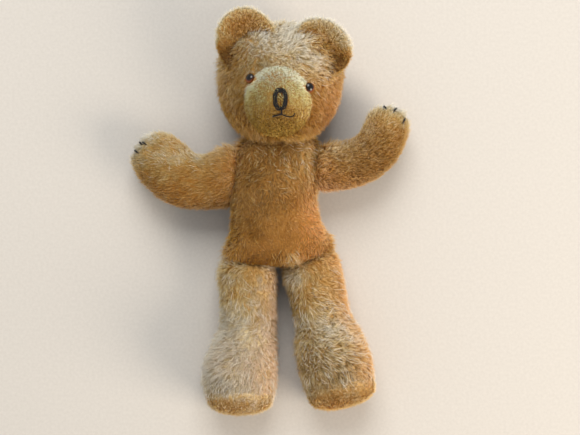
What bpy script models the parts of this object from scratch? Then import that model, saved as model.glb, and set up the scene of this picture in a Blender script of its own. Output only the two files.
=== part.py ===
"""An old plush teddy bear with sewn-on limbs, lying on its back as it comes to rest.

Units are metres, written as millimetres times MM. X runs across the bear, +Y towards its head and
+Z out of its belly. The origin is the middle of the flattened back, on the surface the bear lies on.
Left and right are the bear's own, so its right arm and leg are at -X.

Each part of the body is one form: a row of rings, closed by a point at each end. The plush cloth is
a thick skin of that form, cut into the panels it was sewn from, and the stuffing fills the rest.
"""
import math

import bmesh
import bpy
import numpy as np
from mathutils import Vector
from mathutils.bvhtree import BVHTree

MM = 0.001
CLOTH = 2.2 * MM            # plush cloth with its pile pressed flat
SEAM_GAP = 0.3 * MM         # clear width of a sewn seam
STUFFING_GAP = 0.7 * MM     # between the cloth and what fills it
BUTT_GAP = 0.35 * MM        # between a limb or an ear and what it is sewn to
RIM_ORDER = Vector((0.31, 0.82, 0.47))      # a slant, so that panels split their shared edges the same way

TORSO_COLUMNS = 20
LEG_COLUMNS = 16
ARM_COLUMNS = 16
HEAD_COLUMNS = 24

THREAD_RADIUS = 0.8 * MM
NOSE_YARN_RADIUS = 2.1 * MM

EYE_RADIUS = 4.6 * MM
EYE_HEIGHT = 3.6 * MM
EYE_STEM_RADIUS = 1.4 * MM
EYE_STEM_LENGTH = 7.6 * MM
WASHER_RADIUS = 5.0 * MM
WASHER_THICKNESS = 1.0 * MM
WASHER_DEPTH = 5.0 * MM     # of its outer face under the cloth's outer face

for old in list(bpy.data.objects):
    bpy.data.objects.remove(old, do_unlink=True)


# ---------------------------------------------------------------- materials and objects

def finish(name, colour, roughness, metallic=0.0):
    """A Principled material of one colour, given as linear red, green and blue."""
    material = bpy.data.materials.new(name)
    material.use_nodes = True
    shader = material.node_tree.nodes["Principled BSDF"]
    shader.inputs["Base Color"].default_value = (*colour, 1.0)
    shader.inputs["Roughness"].default_value = roughness
    shader.inputs["Metallic"].default_value = metallic
    return material


GOLDEN_PLUSH = finish("golden_plush", (0.36, 0.20, 0.075), 0.95)
MUZZLE_PLUSH = finish("muzzle_plush", (0.42, 0.30, 0.11), 0.95)
WOOD_WOOL = finish("wood_wool", (0.55, 0.42, 0.24), 0.9)
BLACK_WOOL = finish("black_wool", (0.012, 0.010, 0.010), 0.85)
AMBER_GLASS = finish("amber_glass", (0.10, 0.025, 0.006), 0.1)
WASHER_STEEL = finish("washer_steel", (0.45, 0.44, 0.42), 0.4, 1.0)


def add_object(name, bm, material):
    """Puts a finished mesh in the scene as one named part."""
    bmesh.ops.recalc_face_normals(bm, faces=bm.faces)
    if bm.calc_volume(signed=True) < 0:
        bmesh.ops.reverse_faces(bm, faces=bm.faces)
    mesh = bpy.data.meshes.new(name)
    bm.to_mesh(mesh)
    bm.free()
    part = bpy.data.objects.new(name, mesh)
    part.data.materials.append(material)
    bpy.context.collection.objects.link(part)
    return part


def as_cutter(part):
    """Marks a helper, which cuts other parts and is no part itself."""
    part.hide_render = True
    part.display_type = "WIRE"
    return part


def boolean(part, other, operation="DIFFERENCE"):
    """Cuts other from part, or joins it on."""
    step = part.modifiers.new(operation.lower(), "BOOLEAN")
    step.operation = operation
    step.solver = "EXACT"
    step.object = other


# ---------------------------------------------------------------- forms made of rings

def through(stations, count):
    """Rows read evenly from a smooth curve through the stations, which are rows of numbers."""
    rows = np.array(stations, float)
    padded = np.vstack([2 * rows[0] - rows[1], rows, 2 * rows[-1] - rows[-2]])
    found = []
    for place in np.linspace(0, len(rows) - 1, count):
        i = min(int(place), len(rows) - 2)
        t = place - i
        p0, p1, p2, p3 = padded[i:i + 4]
        found.append(0.5 * (2 * p1 + (p2 - p0) * t + (2 * p0 - 5 * p1 + 4 * p2 - p3) * t * t
                            + (3 * p1 - p0 - 3 * p2 + p3) * t ** 3))
    return np.array(found)


def power(value, exponent):
    """A power that keeps its sign, for the sides of a superellipse."""
    return np.sign(value) * np.abs(value) ** exponent


def oval(columns, squareness):
    """Across and up shares of a superellipse's points, from the +across side round through +up."""
    angle = np.linspace(0, 2 * math.pi, columns, endpoint=False)
    return power(np.cos(angle), 2 / squareness), power(np.sin(angle), 2 / squareness)


class Form:
    """A closed shape: rings of points, ring by ring, between a start point and an end point."""

    def __init__(self, rings, start, end):
        self.rings = np.array(rings, float)
        self.start = np.array(start, float)
        self.end = np.array(end, float)

    def flattened(self):
        """The form as it rests on the ground: what would sink below it is pressed flat."""
        for points in (self.rings, self.start, self.end):
            points[..., 2] = np.maximum(points[..., 2], 0.0)
        return self

    def normals(self):
        """The outward direction at each ring point, at the start and at the end."""
        n = self.rings.shape[1]
        rows = np.concatenate([np.repeat(self.start[None, None], n, 1), self.rings,
                               np.repeat(self.end[None, None], n, 1)])
        along = rows[2:] - rows[:-2]
        around = np.roll(self.rings, -1, 1) - np.roll(self.rings, 1, 1)
        out = np.cross(around, along)
        out /= np.linalg.norm(out, axis=2, keepdims=True)
        outward = self.rings - self.rings.mean(1, keepdims=True)
        if (out * outward).sum() < 0:
            out = -out
        ends = [out[row].mean(0) for row in (0, -1)]
        return out, *(end / np.linalg.norm(end) for end in ends)

    def offset(self, distance):
        """This form swelled by distance, or shrunk where it is negative."""
        out, start, end = self.normals()
        return Form(self.rings + out * distance, self.start + start * distance, self.end + end * distance)

    def thinned(self):
        """This form with every second point round each ring."""
        return Form(self.rings[:, ::2], self.start, self.end)

    def solid(self):
        """The whole form as a closed mesh."""
        bm = bmesh.new()
        add_patch(bm, self, 0, len(self.rings) - 1)
        return bm

    def tree(self):
        """The form's surface, ready for finding where a line meets it."""
        bm = self.solid()
        bm.normal_update()
        found = BVHTree.FromBMesh(bm)
        bm.free()
        return found


def add_patch(bm, form, first, last, columns=None):
    """Adds the faces of rings first to last to bm. Columns is the first and last column of an open strip,
    and None goes all round. The start or end point belongs where the patch reaches the form's end."""
    count = form.rings.shape[1]
    picked = range(count) if columns is None else range(columns[0], columns[1] + 1)
    grid = [[bm.verts.new(form.rings[row, column % count]) for column in picked]
            for row in range(first, last + 1)]
    steps = len(picked) if columns is None else len(picked) - 1
    for low, high in zip(grid, grid[1:]):
        for k in range(steps):
            j = (k + 1) % len(picked)
            bm.faces.new((low[k], low[j], high[j]))
            bm.faces.new((low[k], high[j], high[k]))
    for reaches, point, row in ((first == 0, form.start, grid[0]),
                                (last == len(form.rings) - 1, form.end, grid[-1])):
        if reaches:
            tip = bm.verts.new(point)
            for k in range(steps):
                bm.faces.new((row[k], row[(k + 1) % len(row)], tip))
    return bm


def drawn_in(form, first, last, columns):
    """A copy of the form whose rows and columns at the patch's open edges stand half a seam back."""
    rings = form.rings.copy()
    count = rings.shape[1]
    half = SEAM_GAP / 2

    def pull(edge, inner):
        step = inner - edge
        return edge + step / np.linalg.norm(step, axis=-1, keepdims=True) * half

    if columns is not None:
        a, b = columns[0] % count, columns[1] % count
        rings[:, a] = pull(form.rings[:, a], form.rings[:, (columns[0] + 1) % count])
        rings[:, b] = pull(form.rings[:, b], form.rings[:, (columns[1] - 1) % count])
    if first > 0:
        rings[first] = pull(rings[first], rings[first + 1])
    if last < len(rings) - 1:
        rings[last] = pull(rings[last], rings[last - 1])
    start, end = form.start.copy(), form.end.copy()
    if columns is not None:
        middle = rings[:, (columns[0] + columns[1]) // 2 % count]
        start = pull(start, middle[0])
        end = pull(end, middle[-1])
    return Form(rings, start, end)


def panel(name, form, first, last, columns=None, material=GOLDEN_PLUSH):
    """One cut piece of cloth: a patch of the form's surface with the cloth's thickness under it."""
    bm = add_patch(bmesh.new(), drawn_in(form, first, last, columns), first, last, columns)
    under = add_patch(bmesh.new(), drawn_in(form.offset(-CLOTH), first, last, columns), first, last, columns)
    outer, inner = list(bm.verts), [bm.verts.new(v.co) for v in under.verts]
    under.free()
    partner = dict(zip(outer, inner))
    rim = [edge for edge in bm.edges if len(edge.link_faces) == 1]
    for face in list(bm.faces):
        bm.faces.new([partner[v] for v in reversed(face.verts)])
    for edge in rim:
        a, b = sorted(edge.verts, key=lambda v: v.co.dot(RIM_ORDER))
        bm.faces.new((a, b, partner[b]))
        bm.faces.new((a, partner[b], partner[a]))
    return add_object(name, bm, material)


def stuffing(name, form):
    """What fills the form inside its cloth."""
    return add_object(name, form.offset(-CLOTH - STUFFING_GAP).thinned().solid(), WOOD_WOOL)


# ---------------------------------------------------------------- torso

def torso_form():
    """A flattened sack, wide at the hips, whose left hip is drawn up. Stations are y, middle x, half width,
    lowest and highest."""
    stations = [
        (76, 4, 17, 17, 49),
        (69, 3, 33, 7, 58),
        (58, 2, 42, 1, 64),
        (40, 0, 43, -2, 69),
        (18, -3, 42, -2, 73),
        (-4, -3.2, 42, -2, 76),
        (-20, -0.8, 43.5, -2, 77),
        (-33, 1.5, 48, -2, 76),
        (-43, 2.5, 53, -2, 73),
        (-51, 2, 56.5, 0, 67),
        (-57, 1, 52, 8, 58),
        (-60, 1, 33, 18, 46),
    ]
    across, up = oval(TORSO_COLUMNS, 2.3)
    rings = []
    for y, middle, half_width, low, high in through(stations, 13) * MM:
        z = (low + high) / 2 + (high - low) / 2 * up
        rings.append(np.stack([middle + half_width * across, np.full_like(z, y), z], 1))
    form = Form(rings, (4 * MM, 79 * MM, 33 * MM), (2 * MM, -61 * MM, 32 * MM))
    raise_left_hip(form.rings)
    return form.flattened()


def raise_left_hip(points):
    """Draws the bottom of the sack up on the bear's left, where its seam climbs the hip."""
    low = np.clip((-12 * MM - points[..., 1]) / (40 * MM), 0, 1)
    side = np.clip((points[..., 0] - 12 * MM) / (46 * MM), 0, 1)
    points[..., 1] += 11 * MM * low ** 2 * side ** 1.3


torso = torso_form()
torso_cutter = as_cutter(add_object("torso_cutter", torso.offset(BUTT_GAP).solid(), GOLDEN_PLUSH))


# ---------------------------------------------------------------- head

HEAD_MIDDLE = np.array([4, 122]) * MM
HEAD_HALF_WIDTH = 60 * MM
HEAD_HALF_HEIGHT = 57.5 * MM
HEAD_SLANT = 0.05               # sideways shift of the crown over the chin, as a share of the height
HEAD_SEAM_HEIGHT = 50 * MM      # where the face panel meets the back panel
HEAD_FLATTENING = 4 * MM        # how much of the back of the head is pressed flat
MUZZLE_MIDDLE = np.array([1, 98.7]) * MM
MUZZLE_HALF_WIDTH = 31.7 * MM
MUZZLE_HALF_HEIGHT = 33 * MM
NOSE_TIP = np.array([4, 98]) * MM
NOSE_TIP_HEIGHT = 117 * MM
BACK_RINGS = 6
FACE_RINGS = 5
MUZZLE_RINGS = 5


def head_form():
    """A ball of a head, from the flattened back to the nose tip, with rings round the muzzle's axis."""
    across, up = oval(HEAD_COLUMNS, 2.5)
    turned = oval(HEAD_COLUMNS, 2.0)
    width = HEAD_HALF_WIDTH * (1 + 0.05 * up)
    outline = HEAD_MIDDLE + np.stack([width * across + HEAD_SLANT * HEAD_HALF_HEIGHT * up, HEAD_HALF_HEIGHT * up], 1)
    seam = MUZZLE_MIDDLE + np.stack([MUZZLE_HALF_WIDTH * turned[0], MUZZLE_HALF_HEIGHT * turned[1]], 1)
    seam_height = (84 + 9 * turned[1] - 4 * np.maximum(-turned[1], 0) ** 2) * MM
    rings = []

    def ring(plan, height):
        rings.append(np.column_stack([plan, np.broadcast_to(height, len(plan))]))

    for k in range(BACK_RINGS, 0, -1):
        angle = math.radians(90 * k / (BACK_RINGS + 0.6))
        share = math.cos(angle) ** (2 / 2.3)
        ring(HEAD_MIDDLE + (outline - HEAD_MIDDLE) * share,
             HEAD_SEAM_HEIGHT - (HEAD_SEAM_HEIGHT + HEAD_FLATTENING) * math.sin(angle) ** (2 / 2.3))
    reach = math.radians(76)
    for k in range(FACE_RINGS):
        angle = reach * k / FACE_RINGS
        share = (1 - math.cos(angle)) / (1 - math.cos(reach))
        rise = math.sin(angle) / math.sin(reach)
        ring(outline + (seam - outline) * share, HEAD_SEAM_HEIGHT + (seam_height - HEAD_SEAM_HEIGHT) * rise)
    for k in range(MUZZLE_RINGS):
        share = 1 - (k / MUZZLE_RINGS) ** 1.1
        lift = (1 - share ** 2) ** (1 / 1.8)
        ring(NOSE_TIP + (seam - NOSE_TIP) * share, seam_height + (NOSE_TIP_HEIGHT - seam_height) * lift)
    return Form(rings, (*HEAD_MIDDLE, -HEAD_FLATTENING), (*NOSE_TIP, NOSE_TIP_HEIGHT)).flattened()


head = head_form()
head_surface = head.tree()
head_cutter = as_cutter(add_object("head_cutter", head.offset(BUTT_GAP).solid(), GOLDEN_PLUSH))
last_back_ring = BACK_RINGS
muzzle_ring = BACK_RINGS + FACE_RINGS
panel("head_back_panel", head, 0, last_back_ring)
face_panel = panel("head_face_panel", head, last_back_ring, muzzle_ring)
panel("muzzle_panel", head, muzzle_ring, len(head.rings) - 1, material=MUZZLE_PLUSH)
head_stuffing = stuffing("head_stuffing", head)


# ---------------------------------------------------------------- torso panels

TORSO_HALF = TORSO_COLUMNS // 2
torso_parts = [
    panel("torso_front_panel", torso, 0, len(torso.rings) - 1, (0, TORSO_HALF)),
    panel("torso_back_panel", torso, 0, len(torso.rings) - 1, (TORSO_HALF, TORSO_COLUMNS)),
    stuffing("torso_stuffing", torso),
]
for part in torso_parts:
    boolean(part, head_cutter)


# ---------------------------------------------------------------- arms

def arm_form(stations, rows):
    """A curved mitten of an arm. Stations are x, y, middle height, half width and half depth along its
    middle line, from inside the shoulder to the middle of the round paw."""
    across, up = oval(ARM_COLUMNS, 2.2)
    spine = through(stations, rows) * MM
    heading = np.gradient(spine[:, :2], axis=0)
    heading /= np.linalg.norm(heading, axis=1, keepdims=True)
    rings = []

    def ring(middle, ahead, half_width, half_depth):
        side = np.array([-ahead[1], ahead[0], 0])
        rings.append(middle + np.outer(half_width * across, side) + np.outer(half_depth * up, (0, 0, 1)))

    for row, ahead in zip(spine, heading):
        ring(row[:3], ahead, row[3], row[4])
    paw, ahead = spine[-1], np.append(heading[-1], 0)
    cap_rings = 4
    for k in range(1, cap_rings + 1):
        angle = math.radians(90 * k / (cap_rings + 0.7))
        ring(paw[:3] + ahead * paw[3] * math.sin(angle), heading[-1],
             paw[3] * math.cos(angle), paw[4] * math.cos(angle))
    start = spine[0, :3] - np.append(heading[0], 0) * 3 * MM
    return Form(rings, start, paw[:3] + ahead * paw[3])


def sewn_on(prefix, form, columns, cutters, last=None):
    """The front and back panels and the stuffing of a limb, open at the end that is sewn on."""
    last = len(form.rings) - 1 if last is None else last
    parts = [
        panel(prefix + "_front_panel", form, 1, last, (0, columns // 2)),
        panel(prefix + "_back_panel", form, 1, last, (columns // 2, columns)),
        stuffing(prefix + "_stuffing", form),
    ]
    for part in parts:
        for cutter in cutters:
            boolean(part, cutter)


right_arm = arm_form([
    (-26, 30, 36, 26, 19),
    (-40, 30, 36, 30, 21),
    (-56, 26, 36, 28, 24),
    (-74, 23, 35, 26, 24),
    (-91, 24.5, 33, 27, 25),
    (-107.5, 33.5, 31, 28, 25),
    (-119.5, 46.5, 29, 27, 23),
], 11)
left_arm = arm_form([
    (24, 37, 36, 20, 18),
    (37, 37.5, 36, 22, 21),
    (52, 37.5, 36, 22, 22.5),
    (68, 39.5, 35, 22.5, 23),
    (85, 44.5, 34, 22.5, 23),
    (98.5, 54.5, 33, 22, 23),
    (107.5, 67, 32, 21.5, 22),
    (111.5, 80, 31, 20.5, 21),
], 11)
sewn_on("right_arm", right_arm, ARM_COLUMNS, (torso_cutter, head_cutter))
sewn_on("left_arm", left_arm, ARM_COLUMNS, (torso_cutter, head_cutter))


# ---------------------------------------------------------------- legs

LEG_STATIONS = [
    # down the leg, sideways, half width, lowest and highest, lean of the ring towards the toes
    (-20, 0, 15, 12, 44, 0),
    (-8, 0, 21, 4, 52, 0),
    (6, -0.5, 27.5, -2.5, 55, 0),
    (24, -0.5, 27.7, -2.5, 56, 0),
    (44, 0, 26.7, -2.5, 56, 0),
    (62, 0.5, 25.8, -2.5, 57, 0),
    (74, -0.5, 27.5, -2.5, 61, 1),
    (86, -4, 31, -2.5, 67, 2.5),
    (100, -6.5, 34, -2.5, 74, 5),
    (116, -8, 34.8, -2.5, 79, 8),
    (133, -8, 33.5, -1, 79, 10.5),
]
LEG_ROWS = 13
SOLE_STATIONS = [(141, 0.93, 10), (147, 0.76, 9), (150, 0.45, 8)]    # down the leg, share of the last ring, lean
SOLE_TIP = 151.5


def leg_form(hip, tilt, mirror):
    """A straight leg with a foot at right angles, whose sole bulges. It hangs from the hip and swings out by
    tilt. Mirror is -1 for the foot that toes the other way."""
    across, up = oval(LEG_COLUMNS, 2.25)
    rings = []

    def ring(down, sideways, half_width, low, high, lean):
        middle, half = (low + high) / 2, (high - low) / 2
        z = middle + half * up
        rings.append(np.stack([sideways * mirror + half_width * across,
                               -(down - lean * up), z], 1))
    for row in through(LEG_STATIONS, LEG_ROWS) * MM:
        ring(*row)
    down, sideways, half_width, low, high, _ = np.array(LEG_STATIONS[-1]) * MM
    middle, half = (low + high) / 2, (high - low) / 2
    for down, share, lean in SOLE_STATIONS:
        ring(down * MM, sideways, half_width * share, middle - half * share, middle + half * share,
             lean * share * MM)
    form = Form(rings, (0, 23 * MM, 27 * MM), (sideways * mirror, -SOLE_TIP * MM, middle))
    for points in (form.rings, form.start, form.end):
        x, y = points[..., 0].copy(), points[..., 1].copy()
        points[..., 0] = hip[0] + x * math.cos(tilt) - y * math.sin(tilt)
        points[..., 1] = hip[1] + x * math.sin(tilt) + y * math.cos(tilt)
    return form.flattened()


def sewn_leg(prefix, form):
    """A leg's panels, stuffing and sole."""
    sewn_on(prefix, form, LEG_COLUMNS, (torso_cutter,), last=LEG_ROWS - 1)
    panel(prefix[:-3] + "sole", form, LEG_ROWS - 1, len(form.rings) - 1, material=MUZZLE_PLUSH)


right_leg = leg_form((-29.5 * MM, -57 * MM), 0.0, 1)
left_leg = leg_form((32.3 * MM, -52 * MM), math.radians(12.5), -0.3)
sewn_leg("right_leg", right_leg)
sewn_leg("left_leg", left_leg)


# ---------------------------------------------------------------- ears

EAR_LAYER = 3.4 * MM        # cloth and the little wadding behind it, at the middle of the ear
EAR_RIM_LAYER = 2.6 * MM
EAR_COLUMNS = 20
EAR_RINGS = 4


def ear_layer(name, middle, half_width, half_height, turn, lie, cup, side):
    """The front (side 1) or back (side -1) layer of a cupped, round ear, whose root is sewn to the head. Turn is
    the direction it points from the head, lie how much it leans forward and cup how far its rim stands up."""
    bm = bmesh.new()

    def place(share, angle, depth):
        along, away = share * half_width * math.cos(angle), share * half_height * math.sin(angle)
        return middle + Vector((away * math.cos(turn) - along * math.sin(turn),
                                away * math.sin(turn) + along * math.cos(turn),
                                side * depth + cup * share ** 2 + lie * away))

    rims = []
    for outer in (True, False):
        rows = []
        for ring in range(1, EAR_RINGS + 1):
            share = (ring / EAR_RINGS) ** 0.8
            thick = EAR_LAYER + (EAR_RIM_LAYER - EAR_LAYER) * share ** 2
            depth = SEAM_GAP / 2 + (thick if outer else 0)
            rows.append([bm.verts.new(place(share, 2 * math.pi * k / EAR_COLUMNS, depth))
                         for k in range(EAR_COLUMNS)])
        centre = bm.verts.new(place(0, 0, SEAM_GAP / 2 + (EAR_LAYER if outer else 0)))
        for k in range(EAR_COLUMNS):
            j = (k + 1) % EAR_COLUMNS
            bm.faces.new((rows[0][k], rows[0][j], centre))
            for low, high in zip(rows, rows[1:]):
                bm.faces.new((low[k], low[j], high[j], high[k]))
        rims.append(rows[-1])
    for k in range(EAR_COLUMNS):
        j = (k + 1) % EAR_COLUMNS
        bm.faces.new((rims[0][k], rims[0][j], rims[1][j], rims[1][k]))
    boolean(add_object(name, bm, GOLDEN_PLUSH), head_cutter)


def ear(prefix, middle, half_width, half_height, turn, lie, cup):
    """Both layers of an ear. Sizes in millimetres, turn in degrees from +X."""
    for layer, side in (("front", 1), ("back", -1)):
        ear_layer(f"{prefix}_{layer}_panel", Vector(middle) * MM, half_width * MM, half_height * MM,
                  math.radians(turn), lie, cup * MM, side)


ear("right_ear", (-29.5, 159.5, 66), 27.5, 31.5, 105, 0.0, 10)
ear("left_ear", (44, 154.5, 66), 29, 24.2, 52, 0.0, 10)


# ---------------------------------------------------------------- eyes

def turned(name, profile, material, place, axis, segments=16):
    """A turned piece: a profile of (radius, height) points spun round an axis, which starts at place."""
    bm = bmesh.new()
    verts = [bm.verts.new((radius, 0, height)) for radius, height in profile]
    edges = [bm.edges.new(pair) for pair in zip(verts, verts[1:])]
    bmesh.ops.spin(bm, geom=verts + edges, cent=(0, 0, 0), axis=(0, 0, 1), angle=2 * math.pi,
                   steps=segments, use_merge=True)
    bmesh.ops.remove_doubles(bm, verts=bm.verts, dist=1e-7)
    part = add_object(name, bm, material)
    part.location = place
    part.rotation_mode = "QUATERNION"
    part.rotation_quaternion = axis.to_track_quat("Z", "Y")
    return part


def on_surface(tree, x, y):
    """Where a line straight down at x and y meets a surface, and the surface's direction there."""
    place, direction, _, _ = tree.ray_cast(Vector((x, y, 0.3)), Vector((0, 0, -1)))
    return place, direction if direction.z > 0 else -direction


def eye(side, x, y):
    """A domed eye on a stem through the face, held inside by a washer, which sits in a pocket."""
    place, direction = on_surface(head_surface, x * MM, y * MM)
    axis = (direction + Vector((0, 0, 1))).normalized()
    dome = [(0.0, -1.5 * MM), (EYE_RADIUS, -1.5 * MM), (EYE_RADIUS, 0.9 * MM)]
    for k in range(1, 5):
        angle = math.radians(90 * k / 5)
        dome.append((EYE_RADIUS * math.cos(angle), 0.9 * MM + (EYE_HEIGHT - 0.9 * MM) * math.sin(angle)))
    dome.append((0.0, EYE_HEIGHT))
    stem = [(0.0, -EYE_STEM_LENGTH), (EYE_STEM_RADIUS, -EYE_STEM_LENGTH), (EYE_STEM_RADIUS, 2 * MM), (0.0, 2 * MM)]
    hole_radius = EYE_STEM_RADIUS + SEAM_GAP
    hole = [(0.0, -9 * MM), (hole_radius, -9 * MM), (hole_radius, 6 * MM), (0.0, 6 * MM)]
    pocket_radius = WASHER_RADIUS + 1 * MM
    pocket = [(0.0, -EYE_STEM_LENGTH - 1 * MM), (pocket_radius, -EYE_STEM_LENGTH - 1 * MM),
              (pocket_radius, 8 * MM), (0.0, 8 * MM)]
    top, bottom = -WASHER_DEPTH, -WASHER_DEPTH - WASHER_THICKNESS
    ring = [(hole_radius, bottom), (WASHER_RADIUS, bottom), (WASHER_RADIUS, top), (hole_radius, top),
            (hole_radius, bottom)]
    bead = turned(f"{side}_eye", dome, AMBER_GLASS, place, axis)
    boolean(bead, head_cutter)
    boolean(bead, as_cutter(turned(f"{side}_eye_stem", stem, AMBER_GLASS, place, axis, 12)), "UNION")
    boolean(face_panel, as_cutter(turned(f"{side}_eye_hole", hole, GOLDEN_PLUSH, place, axis, 12)))
    boolean(head_stuffing, as_cutter(turned(f"{side}_eye_pocket", pocket, WOOD_WOOL, place, axis, 12)))
    turned(f"{side}_eye_washer", ring, WASHER_STEEL, place, axis)


eye("right", -25.8, 121)
eye("left", 33, 113.5)


# ---------------------------------------------------------------- embroidery

def thread(name, tree, points, radius=THREAD_RADIUS, closed=False):
    """A length of thread laid over a surface, through plan points given in millimetres."""
    curve = bpy.data.curves.new(name, "CURVE")
    curve.dimensions = "3D"
    curve.bevel_depth = radius
    curve.bevel_resolution = 2
    curve.use_fill_caps = not closed
    spline = curve.splines.new("POLY")
    spline.points.add(len(points) - 1)
    spline.use_cyclic_u = closed
    for slot, (x, y) in zip(spline.points, points):
        place, direction = on_surface(tree, x * MM, y * MM)
        slot.co = (*(place + direction * (radius + BUTT_GAP)), 1)
    part = bpy.data.objects.new(name, curve)
    part.data.materials.append(BLACK_WOOL)
    bpy.context.collection.objects.link(part)
    return part


nose_angles = [2 * math.pi * k / 20 for k in range(20)]
thread("nose_stitching", head_surface,
       [(4.4 + 4.5 * power(math.cos(a), 0.8), 98.5 + 8.0 * math.sin(a)) for a in nose_angles],
       NOSE_YARN_RADIUS, closed=True)
thread("mouth_stem", head_surface, [(5.0, 86.9), (5.05, 86.0), (5.1, 85.0)])
thread("mouth_right", head_surface, [(3.9, 83.2), (1.8, 82.7), (0.1, 82.1), (-1.6, 81.4)])
thread("mouth_left", head_surface, [(6.3, 83.0), (9.3, 81.8), (12.7, 81.0), (15.6, 82.0), (17.4, 84.0)])

CLAWS = {
    "right": (right_arm, [[(-139.0, 63.4), (-136.6, 61.6)], [(-134.4, 62.0), (-131.2, 60.4)],
                          [(-142.9, 55.2), (-139.0, 52.4)]]),
    "left": (left_arm, [[(109.2, 98.6), (107.6, 96.6)], [(120.2, 96.8), (117.0, 92.8)],
                        [(127.6, 87.0), (124.6, 82.0)]]),
}
for side, (form, strokes) in CLAWS.items():
    paw_surface = form.tree()
    for number, (tip, root) in enumerate(strokes, 1):
        tip, root = Vector(tip), Vector(root)
        thread(f"{side}_claw_{number}", paw_surface, [tip.lerp(root, share) for share in (0, 0.33, 0.67, 1)])
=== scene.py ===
"""The looks of a threadbare plush teddy bear that lies on its back.

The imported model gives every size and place. Each stuffed part gets a skin of backing cloth that is puffed
between its seams, and a pile of fibres grown out of that skin. The wool, the eyes and the table come after.
"""
import math

import bmesh
import bpy
import numpy as np
from mathutils import Matrix, Vector, noise
from mathutils.bvhtree import BVHTree
from mathutils.kdtree import KDTree


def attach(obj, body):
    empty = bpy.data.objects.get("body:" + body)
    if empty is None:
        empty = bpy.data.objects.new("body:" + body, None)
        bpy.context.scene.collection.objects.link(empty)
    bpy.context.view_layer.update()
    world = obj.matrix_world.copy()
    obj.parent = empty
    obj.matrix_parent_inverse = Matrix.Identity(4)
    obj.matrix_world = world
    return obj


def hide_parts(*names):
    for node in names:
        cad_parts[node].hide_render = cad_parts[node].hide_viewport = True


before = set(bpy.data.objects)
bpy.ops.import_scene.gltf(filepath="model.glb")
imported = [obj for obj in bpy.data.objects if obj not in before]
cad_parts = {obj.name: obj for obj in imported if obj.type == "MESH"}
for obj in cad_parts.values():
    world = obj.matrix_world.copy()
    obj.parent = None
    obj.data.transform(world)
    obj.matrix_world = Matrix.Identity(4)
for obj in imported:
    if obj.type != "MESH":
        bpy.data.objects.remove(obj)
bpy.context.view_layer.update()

# ================================================================ the body
# A sack of mohair plush, cut as a front and a back panel, sewn round the sides and packed hard with wood
# wool. The pile is worn thin and short over the belly and grimy on the chest. On the left side it is gold,
# partly old dye and partly a painted warm glow, and a pale patch of painted sheen lies on the left of the
# chest.

MM = 0.001
SEAM_REACH = 2.4 * MM       # how far either side of a seam the stitching draws the cloth in
SKIN_GRID = 3.0 * MM        # the spacing of a finished skin's points
PUFF_GRID = 5 * MM          # the same while it is puffed up
MOST_PUFF = 1.6 * MM        # the furthest that the cloth is pushed out
PUFF_STEPS = 20             # frames of the cloth simulation
AIR_PRESSURE = 4
CLOTH_FLOOR = 0.3 * MM      # no cloth is lower than this over the table


def solid_of(names):
    """The named CAD solids together in one bmesh."""
    bm = bmesh.new()
    for name in names:
        bm.from_mesh(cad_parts[name].data)
    bmesh.ops.remove_doubles(bm, verts=bm.verts, dist=0.005 * MM)
    return bm


def tree_of(names):
    """The named CAD solids, ready for finding the nearest place on them."""
    bm = solid_of(names)
    tree = BVHTree.FromBMesh(bm)
    bm.free()
    return tree


def shown(name, data):
    """Puts a mesh, a lamp or a camera in the scene."""
    item = bpy.data.objects.new(name, data)
    bpy.context.scene.collection.objects.link(item)
    return item


def mesh_of(name, bm):
    """A new mesh that holds this bmesh."""
    mesh = bpy.data.meshes.new(name)
    bm.to_mesh(mesh)
    bm.free()
    return mesh


def placed(name, mesh):
    """A new piece of this mesh, which rides on the bear."""
    piece = shown(name, mesh)
    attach(piece, "root")
    return piece


def settled(piece):
    """Applies the piece's modifiers."""
    graph = bpy.context.evaluated_depsgraph_get()
    made = bpy.data.meshes.new_from_object(piece.evaluated_get(graph))
    piece.modifiers.clear()
    piece.data = made


def regridded(piece, spacing):
    """Gives the piece one even, closed skin."""
    step = piece.modifiers.new("regrid", "REMESH")
    step.mode = "VOXEL"
    step.voxel_size = spacing
    settled(piece)


def smoothed(piece, rounds):
    """Takes the steps of the grid out of a skin."""
    bm = bmesh.new()
    bm.from_mesh(piece.data)
    for _ in range(rounds):
        bmesh.ops.smooth_vert(bm, verts=bm.verts, factor=0.5, use_axis_x=True, use_axis_y=True,
                              use_axis_z=True)
    bm.to_mesh(piece.data)
    bm.free()


def points_of(piece):
    """The piece's points and their outward directions."""
    mesh = piece.data
    places = np.empty(len(mesh.vertices) * 3)
    mesh.vertices.foreach_get("co", places)
    outward = np.empty(len(mesh.vertices) * 3)
    mesh.vertex_normals.foreach_get("vector", outward)
    return places.reshape(-1, 3), outward.reshape(-1, 3)


def move_points(piece, places):
    """Puts the piece's points at these places, none of them under the surface that it lies on."""
    places[:, 2] = np.maximum(places[:, 2], CLOTH_FLOOR)
    piece.data.vertices.foreach_set("co", places.ravel())
    piece.data.update()


def distance(tree, places):
    """How far each place is from a tree's surface."""
    return np.array([tree.find_nearest(place)[3] for place in places])


def seam_distance(places, seams):
    """How far each place is from the nearest seam. A seam is where two groups of panels meet."""
    nearest = np.full(len(places), 1.0)
    for one, other in seams:
        gap = np.abs(distance(tree_of(one), places) - distance(tree_of(other), places))
        nearest = np.minimum(nearest, gap)
    return nearest


def room(places, neighbours):
    """0 at a neighbouring piece, rising to 1 where there is room to swell."""
    return np.clip(distance(neighbours, places) / (6 * MM) - 0.2, 0, 1)


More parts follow.
